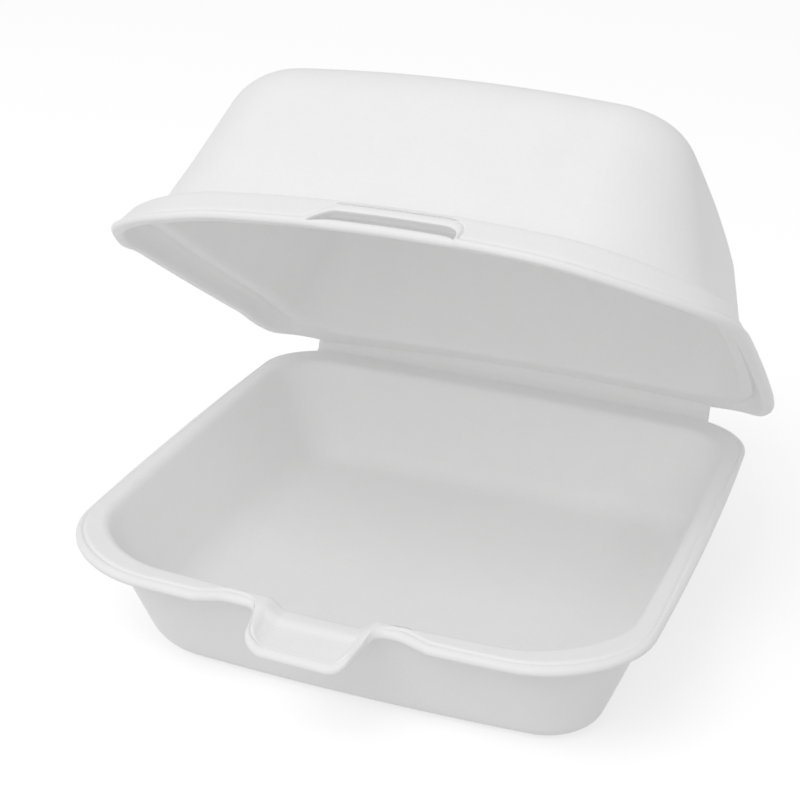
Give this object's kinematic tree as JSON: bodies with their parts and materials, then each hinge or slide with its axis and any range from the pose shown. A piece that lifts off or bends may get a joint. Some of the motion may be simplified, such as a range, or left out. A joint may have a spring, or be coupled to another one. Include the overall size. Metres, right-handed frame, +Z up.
{
  "type": "foam clamshell container",
  "caption": "Hinged take-out container of white foam: a shallow tray with a flange and a front tab, and a deep domed lid with a slotted lip, standing open.",
  "frame": {"origin": "middle of the tray's flat underside", "axes": "+Z up, -Y towards the front with the latch tab, X along the hinge"},
  "size_m": [0.1554, 0.1836, 0.1374],
  "materials": {
    "foam": "white thermoformed polystyrene foam with a satin skin"
  },
  "bodies": {
    "tray": {"tray": "foam"},
    "lid": {"lid": "foam"}
  },
  "joints": [
    {"name": "lid_hinge", "type": "hinge", "parent": "tray", "child": "lid", "pos_m": [0, 0.0736, 0.0322], "axis": [-1, 0, 0], "range_deg": [-30.7, 111]}
  ]
}
